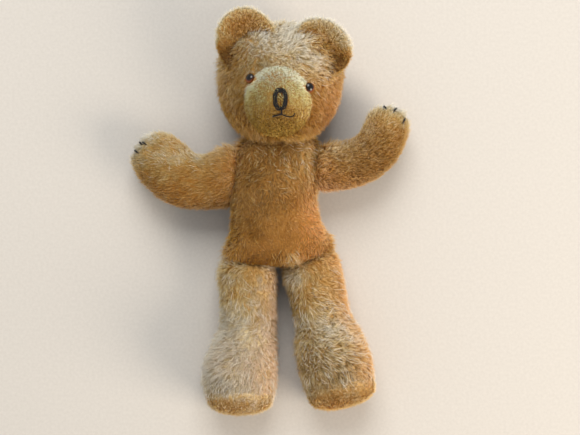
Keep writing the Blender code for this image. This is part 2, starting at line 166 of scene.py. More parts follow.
def puffed(piece, seams, neighbours):
    """Lets air pressure push the cloth out between its seams, which hold it."""
    before, _ = points_of(piece)
    held = seam_distance(before, seams) < 0.7 * PUFF_GRID
    group = piece.vertex_groups.new(name="held")
    group.add([int(i) for i in np.flatnonzero(held)], 1.0, "REPLACE")
    cloth = piece.modifiers.new("puff", "CLOTH")
    cloth.settings.vertex_group_mass = "held"
    cloth.settings.use_pressure = True
    cloth.settings.uniform_pressure_force = AIR_PRESSURE
    cloth.settings.effector_weights.gravity = 0
    for number in range(1, PUFF_STEPS + 1):
        bpy.context.scene.frame_set(number)
    graph = bpy.context.evaluated_depsgraph_get()
    after = np.empty(before.size)
    piece.evaluated_get(graph).data.vertices.foreach_get("co", after)
    shift = after.reshape(-1, 3) - before
    size = np.linalg.norm(shift, axis=1, keepdims=True)
    piece.modifiers.clear()
    piece.vertex_groups.clear()
    share = np.minimum(1, MOST_PUFF / np.maximum(size, 1e-9)) * room(before, neighbours)[:, None]
    move_points(piece, before + shift * share)


def noise_at(places, size, seed):
    """Smooth noise from -1 to 1, whose lumps are about size across."""
    shift = Vector((seed * 7.3, seed * 3.1, seed * 5.7))
    return np.array([noise.noise(Vector(place) / size + shift) for place in places])


def stuffed(name, covers, filling, seams, beside, depth=0.6 * MM, lumps=0.7 * MM):
    """The skin of a stuffed part: its CAD covers and filling as one form, puffed, lumpy and drawn in at its
    seams. It isn't pushed towards the pieces beside it."""
    piece = placed(name, mesh_of(name, solid_of([*covers, *filling])))
    neighbours = tree_of(beside)
    regridded(piece, PUFF_GRID)
    puffed(piece, seams, neighbours)
    regridded(piece, SKIN_GRID)
    smoothed(piece, 4)
    places, outward = points_of(piece)
    drawn = depth * np.exp(-(seam_distance(places, seams) / SEAM_REACH) ** 2)
    lump = lumps * noise_at(places, 17 * MM, 1) * room(places, neighbours)
    move_points(piece, places + outward * (lump - drawn)[:, None])
    piece.data.shade_smooth()
    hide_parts(*covers, *filling)
    return piece


def colour(code):
    """A colour written as sRGB hex, in linear light."""
    parts = [int(code[i:i + 2], 16) / 255 for i in (1, 3, 5)]
    return *(c / 12.92 if c <= 0.04045 else ((c + 0.055) / 1.055) ** 2.4 for c in parts), 1.0


def fed(tree, node, **links):
    """Gives each named input of a node a value, or a link from a (node, output) pair. An input that shares
    its name with others is written as name_0 or name_1."""
    for key, value in links.items():
        title, _, order = key.rpartition("_")
        if order.isdigit():
            socket = node.inputs[int(order)] if title == "Input" else [
                s for s in node.inputs if s.name == title.replace("_", " ")][int(order)]
        else:
            socket = node.inputs[key.replace("_", " ")]
        if isinstance(value, tuple) and isinstance(value[0], bpy.types.Node):
            tree.links.new(value[0].outputs[value[1]], socket)
        else:
            socket.default_value = value


def add(tree, kind, settings=None, stops=(), **links):
    """Adds a node to a tree, with its settings, what feeds its inputs, and on a colour ramp its stops, each
    of them a place and a hex colour."""
    node = tree.nodes.new(kind)
    for key, value in (settings or {}).items():
        setattr(node, key, value)
    elements = node.color_ramp.elements if stops else []
    while len(elements) < len(stops):
        elements.new(1.0)
    for element, (place, code) in zip(elements, stops):
        element.position = place
        element.color = colour(code)
    fed(tree, node, **links)
    return node


def new_material(name, **sockets):
    """A material of one Principled shader, with values set on its own sockets."""
    material = bpy.data.materials.new(name)
    material.use_nodes = True
    tree = material.node_tree
    shader = tree.nodes["Principled BSDF"]
    fed(tree, shader, **sockets)
    return material, tree, shader


# Mohair fades from its dyed gold, through tan, to bone where light and hands have reached it longest, and
# grime settles in what is left. The stops are those stages, and in places painted light and painted shade
# move the fibres along them too.
MOHAIR = [(0.0, "#794514"), (0.2, "#a6681c"), (0.4, "#c9882f"), (0.6, "#dcaf5e"), (0.8, "#e9cf94"),
          (1.0, "#f8f0da")]
BACKING = [(0.0, "#6b4518"), (0.3, "#9a6a2e"), (0.6, "#b88f4e"), (0.85, "#d6bd8c"), (1.0, "#e6d8b4")]
# this gold is also mixed in as a painted warm glow
OLD_GOLD_AND_GLOW = "#f3a351"
# this grime colour is also mixed in as painted shade
GRIME_AND_SHADE = "#5e4a30"


def pile_material(name, stages, root_shade):
    """Fibres that are grimy, darker at the root in painted shade, and faded at the tip, each a little
    different from the next.
    """
    material, tree, shader = new_material(
        name, Roughness=0.85, Specular_IOR_Level=0.08, Sheen_Weight=0.02, Sheen_Roughness=0.6,
        Subsurface_Weight=0.5, Subsurface_Radius=(1.0, 0.8, 0.6), Subsurface_Scale=1.2 * MM)
    fading_and_light, gold_and_glow, grime_and_shade, along = (add(tree, "ShaderNodeAttribute", {"attribute_name": title})
                               for title in ("fading_and_light", "gold_and_glow", "grime_and_shade", "along"))
    place = add(tree, "ShaderNodeTexCoord")
    # the dye has gone unevenly, in blotches about 9 mm across
    uneven = add(tree, "ShaderNodeTexNoise", Vector=(place, "Object"), Scale=1 / (9 * MM), Detail=4.0)
    patch = add(tree, "ShaderNodeMapRange", Value=(uneven, "Fac"), From_Min=0.3, From_Max=0.7, To_Min=-0.08,
                To_Max=0.06)
    blotched = add(tree, "ShaderNodeMath", {"operation": "ADD"}, Value_0=(fading_and_light, "Fac"),
                   Value_1=(patch, "Result"))
    # each fibre is paler towards its tip, and darker towards its root in painted shade
    bleach = add(tree, "ShaderNodeMapRange", Value=(along, "Fac"), To_Min=-0.11, To_Max=0.11)
    shade = add(tree, "ShaderNodeMapRange", Value=(along, "Fac"), To_Min=root_shade, To_Max=1.08)
    aged_and_light = add(tree, "ShaderNodeMath", {"operation": "ADD"}, Value_0=(bleach, "Result"),
               Value_1=(blotched, "Value"))
    dyed_and_light = add(tree, "ShaderNodeValToRGB", stops=stages, Fac=(aged_and_light, "Value"))
    gold_and_glow_mixed = add(tree, "ShaderNodeMix", {"data_type": "RGBA"}, Factor_0=(gold_and_glow, "Fac"), A_2=(dyed_and_light, "Color"),
               B_2=colour(OLD_GOLD_AND_GLOW))
    soiled_and_shaded = add(tree, "ShaderNodeMix", {"data_type": "RGBA"}, Factor_0=(grime_and_shade, "Fac"), A_2=(gold_and_glow_mixed, 2),
                 B_2=colour(GRIME_AND_SHADE))
    mixed = add(tree, "ShaderNodeVectorMath", {"operation": "SCALE"}, Input_0=(soiled_and_shaded, 2),
                Scale=(shade, "Result"))
    fed(tree, shader, Base_Color=(mixed, "Vector"))
    return material


THREAD_SPACING = 0.9 * MM


def backing_material(name, stages):
    """Plain woven cotton, with stubs of worn pile standing in it."""
    material, tree, shader = new_material(name, Roughness=0.92, Specular_IOR_Level=0.15, Sheen_Weight=0.1)
    place = add(tree, "ShaderNodeTexCoord")
    fading_and_light = add(tree, "ShaderNodeAttribute", {"attribute_name": "fading_and_light"})
    # a wave texture of scale 1 repeats about pi times in a metre
    warp, weft = (add(tree, "ShaderNodeTexWave", {"bands_direction": axis}, Vector=(place, "Object"),
                      Scale=1 / (math.pi * THREAD_SPACING), Distortion=1.5, Detail=1.0) for axis in "XY")
    crossed = add(tree, "ShaderNodeMath", {"operation": "MULTIPLY"}, Value_0=(warp, "Fac"),
                  Value_1=(weft, "Fac"))
    stubs = add(tree, "ShaderNodeTexNoise", Vector=(place, "Object"), Scale=1 / (1.2 * MM), Detail=3.0)
    high = add(tree, "ShaderNodeMath", {"operation": "ADD"}, Value_0=(crossed, "Value"),
               Value_1=(stubs, "Fac"))
    tint = add(tree, "ShaderNodeMapRange", Value=(high, "Value"), From_Min=0.3, From_Max=1.3, To_Min=-0.22,
               To_Max=0.12)
    aged_and_light = add(tree, "ShaderNodeMath", {"operation": "ADD"}, Value_0=(fading_and_light, "Fac"), Value_1=(tint, "Result"))
    dyed_and_light = add(tree, "ShaderNodeValToRGB", stops=stages, Fac=(aged_and_light, "Value"))
    bump = add(tree, "ShaderNodeBump", Height=(high, "Value"), Strength=0.6, Distance=0.5 * MM)
    fed(tree, shader, Base_Color=(dyed_and_light, "Color"), Normal=(bump, "Normal"))
    return material


mohair_pile = pile_material("mohair pile", MOHAIR, 0.78)
mohair_backing = backing_material("mohair backing cloth", BACKING)


def fibre(bends):
    """One fibre as a three-sided spike of unit length along Z, with rings where it may bend."""
    bm = bmesh.new()
    bmesh.ops.create_cone(bm, cap_ends=True, segments=3, radius1=1, radius2=0, depth=1,
                          matrix=Matrix.Translation((0, 0, 0.5)))
    bmesh.ops.remove_doubles(bm, verts=bm.verts, dist=1e-4)
    for k in range(bends):
        bmesh.ops.bisect_plane(bm, geom=bm.verts[:] + bm.edges[:] + bm.faces[:],
                               plane_co=(0, 0, (k + 1) / (bends + 1)), plane_no=(0, 0, 1))
    bmesh.ops.triangulate(bm, faces=bm.faces)
    bm.verts.index_update()
    points = np.array([v.co for v in bm.verts])
    faces = np.array([[v.index for v in face.verts] for face in bm.faces])
    bm.free()
    # round, and thinner towards the tip
    points[:, :2] /= np.maximum(np.linalg.norm(points[:, :2], axis=1, keepdims=True), 1e-6)
    points[:, :2] *= (1 - points[:, 2:]) ** 0.55
    return points, faces


def triangles_of(piece):
    """The piece's triangles, as point numbers."""
    piece.data.calc_loop_triangles()
    found = np.empty(len(piece.data.loop_triangles) * 3, dtype=np.int64)
    piece.data.loop_triangles.foreach_get("vertices", found)
    return found.reshape(-1, 3)


def unit(vectors):
    """The same directions at length one."""
    return vectors / np.maximum(np.linalg.norm(vectors, axis=1, keepdims=True), 1e-9)


FIBRES_IN_A_TUFT = 6
LOOK_ROUND = 12 * MM        # how near another piece has to be before a fibre gives way to it
FIBRE_FLOOR = 0.15 * MM     # no fibre is lower than this over the table
MAP_MARGIN = 0.15           # the part of a fibre's cell in the colour map that is left empty on each side


def sunk(place, tree, clearance):
    """The nearest spot on a tree's surface to a place that is under it or less than clearance above it, and
    the way the surface faces there. Both are None where the place is clear of it."""
    spot, facing, _, _ = tree.find_nearest(place, LOOK_ROUND)
    if spot is not None and (Vector(place) - spot).dot(facing) < clearance:
        return spot, facing
    return None, None


def sown(skin, fields, count, rng, keep_off):
    """Roots scattered evenly over a skin, thinned by its thickness field, and its fields read there. Roots
    within keep_off's trees are left out."""
    places, outward = points_of(skin)
    faces = triangles_of(skin)
    a, b, c = (places[faces[:, k]] for k in range(3))
    area = np.linalg.norm(np.cross(b - a, c - a), axis=1) * fields["thick"][faces].mean(1)
    picked = rng.choice(len(faces), size=count, p=area / area.sum())
    share = rng.random((count, 2))
    over = share.sum(1) > 1
    share[over] = 1 - share[over]
    weights = np.column_stack([1 - share.sum(1), share])
    corners = faces[picked]
    found = {key: (value[corners] * weights[..., None]).sum(1) if value.ndim == 2
             else (value[corners] * weights).sum(1) for key, value in fields.items()}
    found["root"] = (places[corners] * weights[..., None]).sum(1)
    found["out"] = unit((outward[corners] * weights[..., None]).sum(1))
    clear = np.ones(count, bool)
    for tree in keep_off:
        for i in np.flatnonzero(clear):
            clear[i] = sunk(found["root"][i], tree, 0.6 * MM)[0] is None
    return {key: value[clear] for key, value in found.items()}


def tufts_of(roots, rng):
    """For each fibre, the number of the fibre that heads the tuft it belongs to."""
    heads = rng.choice(len(roots), size=max(1, len(roots) // FIBRES_IN_A_TUFT), replace=False)
    finder = KDTree(len(heads))
    for i, head_number in enumerate(heads):
        finder.insert(roots[head_number], i)
    finder.balance()
    return heads[[finder.find(root)[1] for root in roots]]


def combed(coat, width, matting, loose, keep_off, rng):
    """Lays a sown coat's fibres over, and gives each its elbow, tip, cross directions, radius and age."""
    roots, out = coat["root"], coat["out"]
    total = len(roots)
    tuft = tufts_of(roots, rng)

    def varied(by_tuft, by_fibre):
        return rng.normal(0, by_tuft, total)[tuft] + rng.normal(0, by_fibre, total)

    comb = unit(coat["comb"] - out * (coat["comb"] * out).sum(1, keepdims=True))
    side = np.cross(out, comb)
    turn = coat["swirl"] + coat["ruffle"] * varied(0.38, 0.24)
    comb = comb * np.cos(turn)[:, None] + side * np.sin(turn)[:, None]
    side = np.cross(out, comb)
    stray = rng.random(total) < loose
    size = (coat["long"] * rng.uniform(0.7, 1.15, total) * np.where(stray, 1.3, 0.85))[:, None]
    over = np.clip(coat["lean"] + varied(0.06, 0.06), 0.1, 0.96)[:, None]
    tip = roots + size * (out * np.sqrt(1 - over ** 2) + comb * over)
    # the tips of a tuft are drawn together, the matted ones less because they lie lower
    pull = (matting * rng.uniform(0.3, 1.0, total)[tuft] * np.where(stray, 1.0, 0.7))[:, None]
    tip = tip + (tip[tuft] - tip) * pull
    for tree in keep_off:
        for i in range(total):
            spot, facing = sunk(tip[i], tree, 0.4 * MM)
            if spot is not None:
                tip[i] = spot + facing * 0.5 * MM
    wave = varied(0.12, 0.08)[:, None]
    coat["stray"] = stray
    coat["tip"] = tip
    coat["elbow"] = roots + size * (out * 0.5 + comb * over * 0.25 + side * wave)
    spine = unit(tip - roots)
    coat["across"] = unit(np.cross(spine, out) + side * 0.2)
    coat["third"] = np.cross(coat["across"], spine)
    coat["radius"] = width / 2 * rng.uniform(0.8, 1.2, total) * np.where(stray, 0.75, 1.3)
    coat["worn"] = coat["fading_and_light"] + varied(0.03, 0.02) + stray * rng.normal(0.07, 0.05, total)


def spun(coat):
    """The fibres of a combed coat as one mesh: its points, its triangles, the place of each point on the
    colour map, the fibre that each point is on, and how far along it."""
    cells = math.ceil(math.sqrt(len(coat["root"])))
    points, corners, layouts, owners, heights = [], [], [], [], []
    # matted fibres are straight, and stray ones bend once
    for chosen, (shape, faces) in ((~coat["stray"], fibre(0)), (coat["stray"], fibre(1))):
        chosen = np.flatnonzero(chosen)
        root, elbow, tip, across, third = (coat[key][chosen, None]
                                           for key in ("root", "elbow", "tip", "across", "third"))
        u = shape[:, 2][None, :, None]
        line = (1 - u) ** 2 * root + 2 * u * (1 - u) * elbow + u ** 2 * tip
        ring = across * shape[None, :, :1] + third * shape[None, :, 1:2]
        line = line + coat["radius"][chosen, None, None] * ring
        first = sum(len(done) for done in points) + np.arange(len(chosen)) * len(shape)
        corners.append((faces[None] + first[:, None, None]).reshape(-1, 3))
        # each fibre has its own cell of the map, set aside for its colours
        turned = np.arctan2(shape[:, 1], shape[:, 0]) / (2 * math.pi) + 0.5
        filled = 1 - 2 * MAP_MARGIN
        cell_u = (chosen % cells)[:, None] + MAP_MARGIN + filled * turned[None]
        cell_v = (chosen // cells)[:, None] + MAP_MARGIN + filled * shape[None, :, 2]
        layouts.append(np.stack([cell_u, cell_v], 2).reshape(-1, 2) / cells)
        points.append(line.reshape(-1, 3))
        owners.append(np.repeat(chosen, len(shape)))
        heights.append(np.tile(shape[:, 2], len(chosen)))
    return [np.concatenate(part) for part in (points, corners, layouts, owners, heights)]


def stored(mesh, title, values):
    """Stores a field on a mesh, one value for each point."""
    mesh.attributes.new(title, "FLOAT", "POINT").data.foreach_set("value", values)


def pile(name, skin, fields, count, width, matting, loose, seed, keep_off=(), material=mohair_pile):
    """A coat of fibres on a skin. Most are matted flat, and the loose share of them are longer, finer and
    paler hairs on top. Matting is how far they are drawn together into tufts."""
    rng = np.random.default_rng(seed)
    coat = sown(skin, fields, count, rng, keep_off)
    combed(coat, width, matting, loose, keep_off, rng)
    points, corners, layout, owner, height = spun(coat)
    points[:, 2] = np.maximum(points[:, 2], FIBRE_FLOOR)

    mesh = bpy.data.meshes.new(name)
    mesh.vertices.add(len(points))
    mesh.vertices.foreach_set("co", points.ravel())
    mesh.loops.add(corners.size)
    mesh.loops.foreach_set("vertex_index", corners.ravel())
    mesh.polygons.add(len(corners))
    mesh.polygons.foreach_set("loop_start", np.arange(0, corners.size, 3))
    mesh.update(calc_edges=True)
    # grime, and the painted shade that is carried with it in places, keeps to the matted fibres underneath
    soiled_and_shaded = coat["grime_and_shade"] * np.where(coat["stray"], 0.4, 1.2)
    for title, values in (("fading_and_light", coat["worn"]), ("gold_and_glow", coat["gold_and_glow"]), ("grime_and_shade", soiled_and_shaded)):
        stored(mesh, title, np.clip(values, 0, 1)[owner])
    stored(mesh, "along", height)
    mesh.uv_layers.new(name="OFBake").data.foreach_set("uv", layout[corners.ravel()].ravel())
    mesh.materials.append(material)
    mesh.shade_smooth()
    placed(name, mesh)


def wisps(name, skin, fields, where, count, length, palest, seed):
    """The longest hairs, which lie loose over the coat, thickest where the field called where is high. They
    are bleached at least as far as palest."""
    found = {**fields, "thick": np.clip(where, 1e-4, 1), "long": np.full(len(where), length),
             "fading_and_light": np.clip(fields["fading_and_light"] + 0.3, palest, 1), "gold_and_glow": 0 * where, "grime_and_shade": 0 * where,
             "lean": np.full(len(where), 0.95), "ruffle": np.full(len(where), 1.5)}
    pile(name, skin, found, count, 0.62 * MM, matting=0.5, loose=1.0, seed=seed)


def near(places, centre, reach):
    """1 at the centre, falling smoothly to nothing past reach. Both are in millimetres, and reach is one
    length or one for each axis."""
    return np.exp(-(((places / MM - np.array(centre)) / np.array(reach)) ** 2).sum(1))


def line_gap(places, lines):
    """How far each place is, seen from over the bear, from the nearest of these lines in millimetres."""
    least = np.full(len(places), np.inf)
    for line in lines:
        for one, other in zip(line, line[1:]):
            one, other = np.array(one) * MM, np.array(other) * MM
            step = other - one
            share = np.clip(((places[:, :2] - one) @ step) / (step @ step), 0, 1)
            least = np.minimum(least, np.linalg.norm(places[:, :2] - one - share[:, None] * step, axis=1))
    return least


def lined(skin, fading_and_light):
    """Gives a skin its backing cloth, and the field of fading, with painted light and shade in places, that
    the cloth's colour comes from.
    """
    stored(skin.data, "fading_and_light", np.clip(fading_and_light, 0, 1))
    skin.data.materials.append(mohair_backing)


# The window side: the light that faded the bear fell from above its head, on its front and its right.
# Surfaces that face it are painted paler, partly for that fading and partly as painted light from the lamp
# on that side.
WINDOW = np.array([-0.25, 0.62, 0.74])


def fields_of(skin, seams, comb_from, length, swirl, base_fading_and_light, window, seed):
    """The skin's points, their outward directions, and the fields that a coat is grown from. It is combed
    away from a point in millimetres, turned by swirl and unevenly by ruffle, and lean lays it flat. The
    colour fields are how faded it is, what is left of its old gold and what grime has settled in it, and in
    places painted light, a painted warm glow and painted shade are added to them."""
    places, outward = points_of(skin)
    seam = seam_distance(places, seams)
    # paler where the skin faces the window: partly fading, partly painted light
    faded_and_light = base_fading_and_light + window * (outward @ WINDOW)
    faded_and_light = faded_and_light + 0.10 * noise_at(places, 22 * MM, seed) + 0.07 * noise_at(places, 7 * MM, seed + 1)
    swirling = 1.1 * swirl * noise_at(places, 24 * MM, seed + 2)
    swirling = swirling + 0.5 * swirl * noise_at(places, 9 * MM, seed + 3)
    return places, outward, {
        "comb": unit(places - np.array(comb_from) * MM),
        "swirl": swirling,
        "long": length * (1 + 0.25 * noise_at(places, 14 * MM, seed + 4)) * (1 - 0.2 * (seam < 2 * MM)),
        "thick": (1 + 0.35 * noise_at(places, 16 * MM, seed + 5)) * np.clip(0.8 + outward[:, 2], 0.3, 1),
        "fading_and_light": faded_and_light,
        "gold_and_glow": np.zeros(len(places)),
        "grime_and_shade": 0.12 + 0.15 * noise_at(places, 12 * MM, seed + 6),
        "lean": 0.68 + 0.22 * np.abs(outward[:, 2]),
        "ruffle": np.ones(len(places)),
    }


def tree_of_skin(skin):
    """A finished skin, ready for finding the nearest place on it."""
    return BVHTree.FromObject(skin, bpy.context.evaluated_depsgraph_get())


def panels(part):
    """The names of a part's front and back panels."""
    return [part + "_front_panel", part + "_back_panel"]


def side_seam(covers):
    """The seam where a part's two panels meet."""
    return ([covers[0]], [covers[1]])


body_covers = panels("torso")
body_seams = [side_seam(body_covers)]
beside_body = ["head_face_panel", "head_back_panel"]
for limb in ("right_arm", "left_arm", "right_leg", "left_leg"):
    beside_body += panels(limb)
body = stuffed("body", body_covers, ["torso_stuffing"], body_seams, beside_body)
places, _, coat = fields_of(body, body_seams, comb_from=(0, 200, 30), length=6.0 * MM, swirl=1.5,
                            base_fading_and_light=0.27, window=0.16, seed=10)
# the places where the coat differs
belly = near(places, (5, -30, 75), 30)
low_belly = near(places, (0, -45, 70), (40, 25, 30))
right_belly = near(places, (-15, -35, 80), (30, 20, 40))
# the left flank, whose gold is partly old dye and partly a painted warm glow
flank = near(places, (32, -24, 60), (16, 38, 30))
fork = near(places, (15, -52, 70), (11, 8, 30))             # where the legs meet
hip_corner = near(places, (-55, -50, 30), (20, 20, 50))
hip_corner = hip_corner + near(places, (62, -44, 30), (16, 18, 50))
chest = near(places, (-10, 45, 70), (30, 20, 40))
hugged = near(places, (-12, 35, 70), (30, 35, 30))
under_hug = near(places, (-15, -5, 70), (26, 22, 30))
# a pale patch of painted sheen on the left of the chest, greyed over a wider round
sheen_patch = near(places, (30, 40, 70), (14, 20, 40))
sheen_greying = near(places, (27, 34, 70), (17, 26, 40))
neck = near(places, (0, 64, 70), (60, 7, 50))
# where the shoulder meets the neck, which gets a painted glow in the shadow of the head
collar = near(places, (-43, 62, 50), (12, 10, 40))
coat["fading_and_light"] += 0.08 * noise_at(places, 8 * MM, 15)
# paler in the patch of painted sheen
coat["fading_and_light"] += 0.3 * fork + 0.32 * sheen_patch + 0.07 * flank - 0.06 * right_belly
# gold on the flank: partly old dye, partly painted warm glow; at the collar: painted glow
coat["gold_and_glow"] = 1.15 * flank + 0.12 * low_belly + 0.4 * collar
coat["grime_and_shade"] += 0.42 * hugged + 0.34 * under_hug + 0.16 * noise_at(places, 6 * MM, 14)
# the flank keeps little grime under its painted glow
coat["grime_and_shade"] *= 1 - 0.8 * flank
coat["grime_and_shade"] += 0.22 * sheen_greying
coat["thick"] *= 1 - 0.3 * belly
coat["long"] *= 1 - 0.3 * belly + 0.9 * hip_corner - 0.4 * (places[:, 1] < -36 * MM) + 1.5 * fork
coat["long"] *= (1 + 0.3 * neck) * (1 + 1.2 * collar)
coat["lean"] -= 0.3 * hip_corner + 0.3 * fork + 0.35 * collar
coat["ruffle"] = (0.6 + 1.2 * fork) * (1 + 0.8 * neck)
lined(body, coat["fading_and_light"] - 0.05)
body_tree = tree_of_skin(body)
pile("body_pile", body, coat, 20600, 0.43 * MM, matting=0.4, loose=0.33, seed=11,
     keep_off=[tree_of(["head_face_panel", "muzzle_panel", "head_back_panel"])])
wisps("body_wisps", body, coat, 0.6 * fork + 0.12 * sheen_patch + 0.12 * chest, count=220, length=7 * MM,
      palest=0.46, seed=12)

# ================================================================ the head
# A ball of the same plush: a face panel and a back panel, with a round muzzle of shorn plush let in. The
# crown and brow are tousled and pale, partly bleached and partly painted light from above, and the cheeks
# lie flatter and keep more of their colour. The left cheek is gold, partly old dye and partly a painted
# warm glow, and the creases by the ears are darkened in painted shade.

FACE_LEVEL = 50 * MM        # the face is above this height over the table
head_seams = [(["head_face_panel"], ["muzzle_panel"]), (["head_face_panel"], ["head_back_panel"])]
head = stuffed("head", ["head_back_panel", "head_face_panel", "muzzle_panel"], ["head_stuffing"],
               head_seams, body_covers, depth=0.9 * MM)
# a dart runs down the muzzle from the mouth
places, outward = points_of(head)
dart = np.exp(-((places[:, 0] - 4.6 * MM) / (1.8 * MM)) ** 2)
dart = dart * (places[:, 1] < 80 * MM) * (places[:, 2] > 60 * MM)
move_points(head, places - outward * (1.0 * MM * dart)[:, None])
head_tree = tree_of_skin(head)
places, _, coat = fields_of(head, head_seams, comb_from=(-20, 150, 60), length=6.4 * MM, swirl=1.2,
                            base_fading_and_light=0.40, window=0.24, seed=20)
on_muzzle = distance(tree_of(["head_face_panel"]), places) > distance(tree_of(["muzzle_panel"]), places)
# the places where the coat differs
brow = near(places, (6, 158, 70), (45, 26, 60))
brow = brow + 0.7 * near(places, (42, 134, 90), (20, 16, 40))
cheeks = near(places, (-45, 105, 40), (25, 30, 50))
cheeks = cheeks + near(places, (50, 100, 40), (20, 30, 50))
left_cheek = near(places, (50, 100, 60), (18, 35, 50))
# the creases where the ears are sewn on, which are darkened in painted shade
left_ear_crease_shade = near(places, (44, 156, 90), (9, 9, 30))
left_ear_crease_shade = np.maximum(left_ear_crease_shade, near(places, (53, 145, 90), (9, 9, 30)))
right_ear_crease_shade = near(places, (-41, 148, 80), (11, 17, 30))
temple = near(places, (-56, 135, 50), (20, 26, 50))
chin = near(places, (0, 70, 60), (50, 12, 50))
brow_share = np.clip(brow, 0, 1)
cheek_share = np.clip(cheeks, 0, 1)
# the brow is paler, partly bleached and partly painted light from above; by the ears it is darker in
# painted shade
coat["fading_and_light"] += 0.38 * brow - 0.16 * cheeks - 0.85 * left_ear_crease_shade - 0.32 * right_ear_crease_shade
# the left cheek's gold is partly old dye and partly a painted warm glow
coat["gold_and_glow"] = 0.6 * left_cheek
coat["grime_and_shade"] *= 1 - 0.3 * brow_share
# painted shade in the creases by the ears
coat["grime_and_shade"] += 0.35 * left_ear_crease_shade + 0.1 * right_ear_crease_shade
coat["swirl"] *= 1 + 0.5 * brow - 0.6 * cheek_share
coat["ruffle"] = 1 + 0.3 * brow - 0.6 * cheek_share
coat["lean"] -= 0.15 * brow + 0.25 * temple + 0.1 * chin
coat["long"] *= (1 + 0.5 * chin) * (1 + 0.6 * temple) * (1 + 0.5 * brow - 0.15 * cheek_share)
# the cloth is bare and dark under the nose
bare = np.hypot((places[:, 0] - 4.4 * MM) / 7, (places[:, 1] - 98.5 * MM) / 11) < 1 * MM
lined(head, np.where(on_muzzle, np.where(bare, 0.02, 0.58), coat["fading_and_light"] - 0.12))
# the pile is short and pale round each eye, and there is none under the glass
EYES = [("right_eye", -24.2 * MM, 120.4 * MM),
        ("left_eye", 31.0 * MM, 112.2 * MM)]
off_eyes = np.ones(len(places))
for _, x, y in EYES:
    from_middle = np.hypot(places[:, 0] - x, places[:, 1] - y)
    ring = np.exp(-((from_middle - 7 * MM) / (1.4 * MM)) ** 2) * (places[:, 2] > FACE_LEVEL)
    coat["fading_and_light"] += 0.35 * ring
    coat["long"] *= 1 - 0.6 * ring
    off_eyes *= (from_middle > 6.0 * MM) | (places[:, 2] < FACE_LEVEL)
# the face's pile hangs a little over the edge of the muzzle
seam = seam_distance(places, head_seams)
over_edge = on_muzzle * (seam < 2.6 * MM) * 0.6 * (places[:, 1] < 118 * MM)
coat["thick"] = np.clip(coat["thick"], 0.05, 2) * np.where(on_muzzle, over_edge, 1) * off_eyes
wisps("head_wisps", head, coat, brow_share * ~on_muzzle * off_eyes, count=420, length=7 * MM,
      palest=0.62, seed=22)
pile("head_pile", head, coat, 33500, 0.38 * MM, matting=0.5, loose=0.28, seed=21, keep_off=[body_tree])

# The muzzle's plush was shorn short when it was new. It is pale above and golden below, partly faded and
# partly painted light from above and painted shade underneath, and is worn brown round the nose. The nose
# and the mouth, which part it, are sewn on further down.
NOSE = np.array([3.9, 98.5, 117.0]) * MM
MOUTH = [("mouth_stem", [(5.0, 88.8), (5.05, 86.6), (5.1, 84.4)], 0.75),
         ("mouth_right", [(5.0, 85.0), (1.8, 84.3), (-0.4, 83.8), (-3.2, 83.2)], 1.05),
         ("mouth_left", [(5.0, 84.8), (9.3, 83.4), (12.7, 82.8), (15.6, 84.0), (17.4, 86.6)], 0.65)]
SHORN = [(0.0, "#85531a"), (0.3, "#cb922c"), (0.5, "#dabc5c"), (0.75, "#eae49c"), (1.0, "#f6f8d8")]
shorn_pile = pile_material("shorn plush pile", SHORN, 0.66)
under_nose = near(places, (3.9, 86.5, 117), 11)
nostrils = near(places, (3.9, 85.5, 117), 10)
ridge = np.exp(-((seam - 1.5 * MM) / (1.5 * MM)) ** 2) * (places[:, 0] < -15 * MM)
# paler towards the top and darker towards the bottom: partly fading, partly painted light from above and
# painted shade below
coat["fading_and_light"] = 0.54 + 0.4 * np.clip((places[:, 1] - NOSE[1]) / (20 * MM), -1, 1)
coat["fading_and_light"] += 0.12 * noise_at(places, 5 * MM, 31) - 0.2 * under_nose
# the ridge is paler and the dart darker; the lower edge is darker, partly its colour and partly painted
# shade
coat["fading_and_light"] += 0.12 * ridge - 0.2 * dart - 0.12 * near(places, (4, 70, 90), (30, 10, 40))
coat["gold_and_glow"] = np.zeros(len(places))
coat["grime_and_shade"] = 0.08 + 0.1 * noise_at(places, 5 * MM, 33) + 0.3 * nostrils
coat["lean"] = np.full(len(places), 0.55)
coat["ruffle"] = np.full(len(places), 1.4)
coat["comb"] = np.tile([0.1, -0.6, 0.3], (len(places), 1))
# there is none under the yarn of the nose, and it parts at the mouth
nose_gap = np.hypot((places[:, 0] - NOSE[0]) / 7.2, (places[:, 1] - NOSE[1]) / 11) / MM
mouth_gap = line_gap(places, [line for _, line, _ in MOUTH])
coat["thick"] = on_muzzle * ((nose_gap > 1) | (nose_gap < 0.4)) * off_eyes
coat["long"] = 3.0 * MM * (0.5 + 0.5 * np.clip(seam / (2 * MM), 0, 1))
coat["long"] *= 1 - 0.5 * np.exp(-(mouth_gap / (1.5 * MM)) ** 2)
pile("muzzle_pile", head, coat, 13500, 0.43 * MM, matting=0.6, loose=0.2, seed=32,
     material=shorn_pile)

# ================================================================ the ears
# Each ear is two discs of plush sewn round the edge and turned out, with no filling. It is pinched into a
# cup and sewn across the corner of the head. The rim is pale, partly rubbed and partly painted light from
# above, and the inside of the cup is dark gold, partly its own colour and partly painted shade.

EAR_GRID = 1.8 * MM
EAR_PUFF = 0.5 * MM
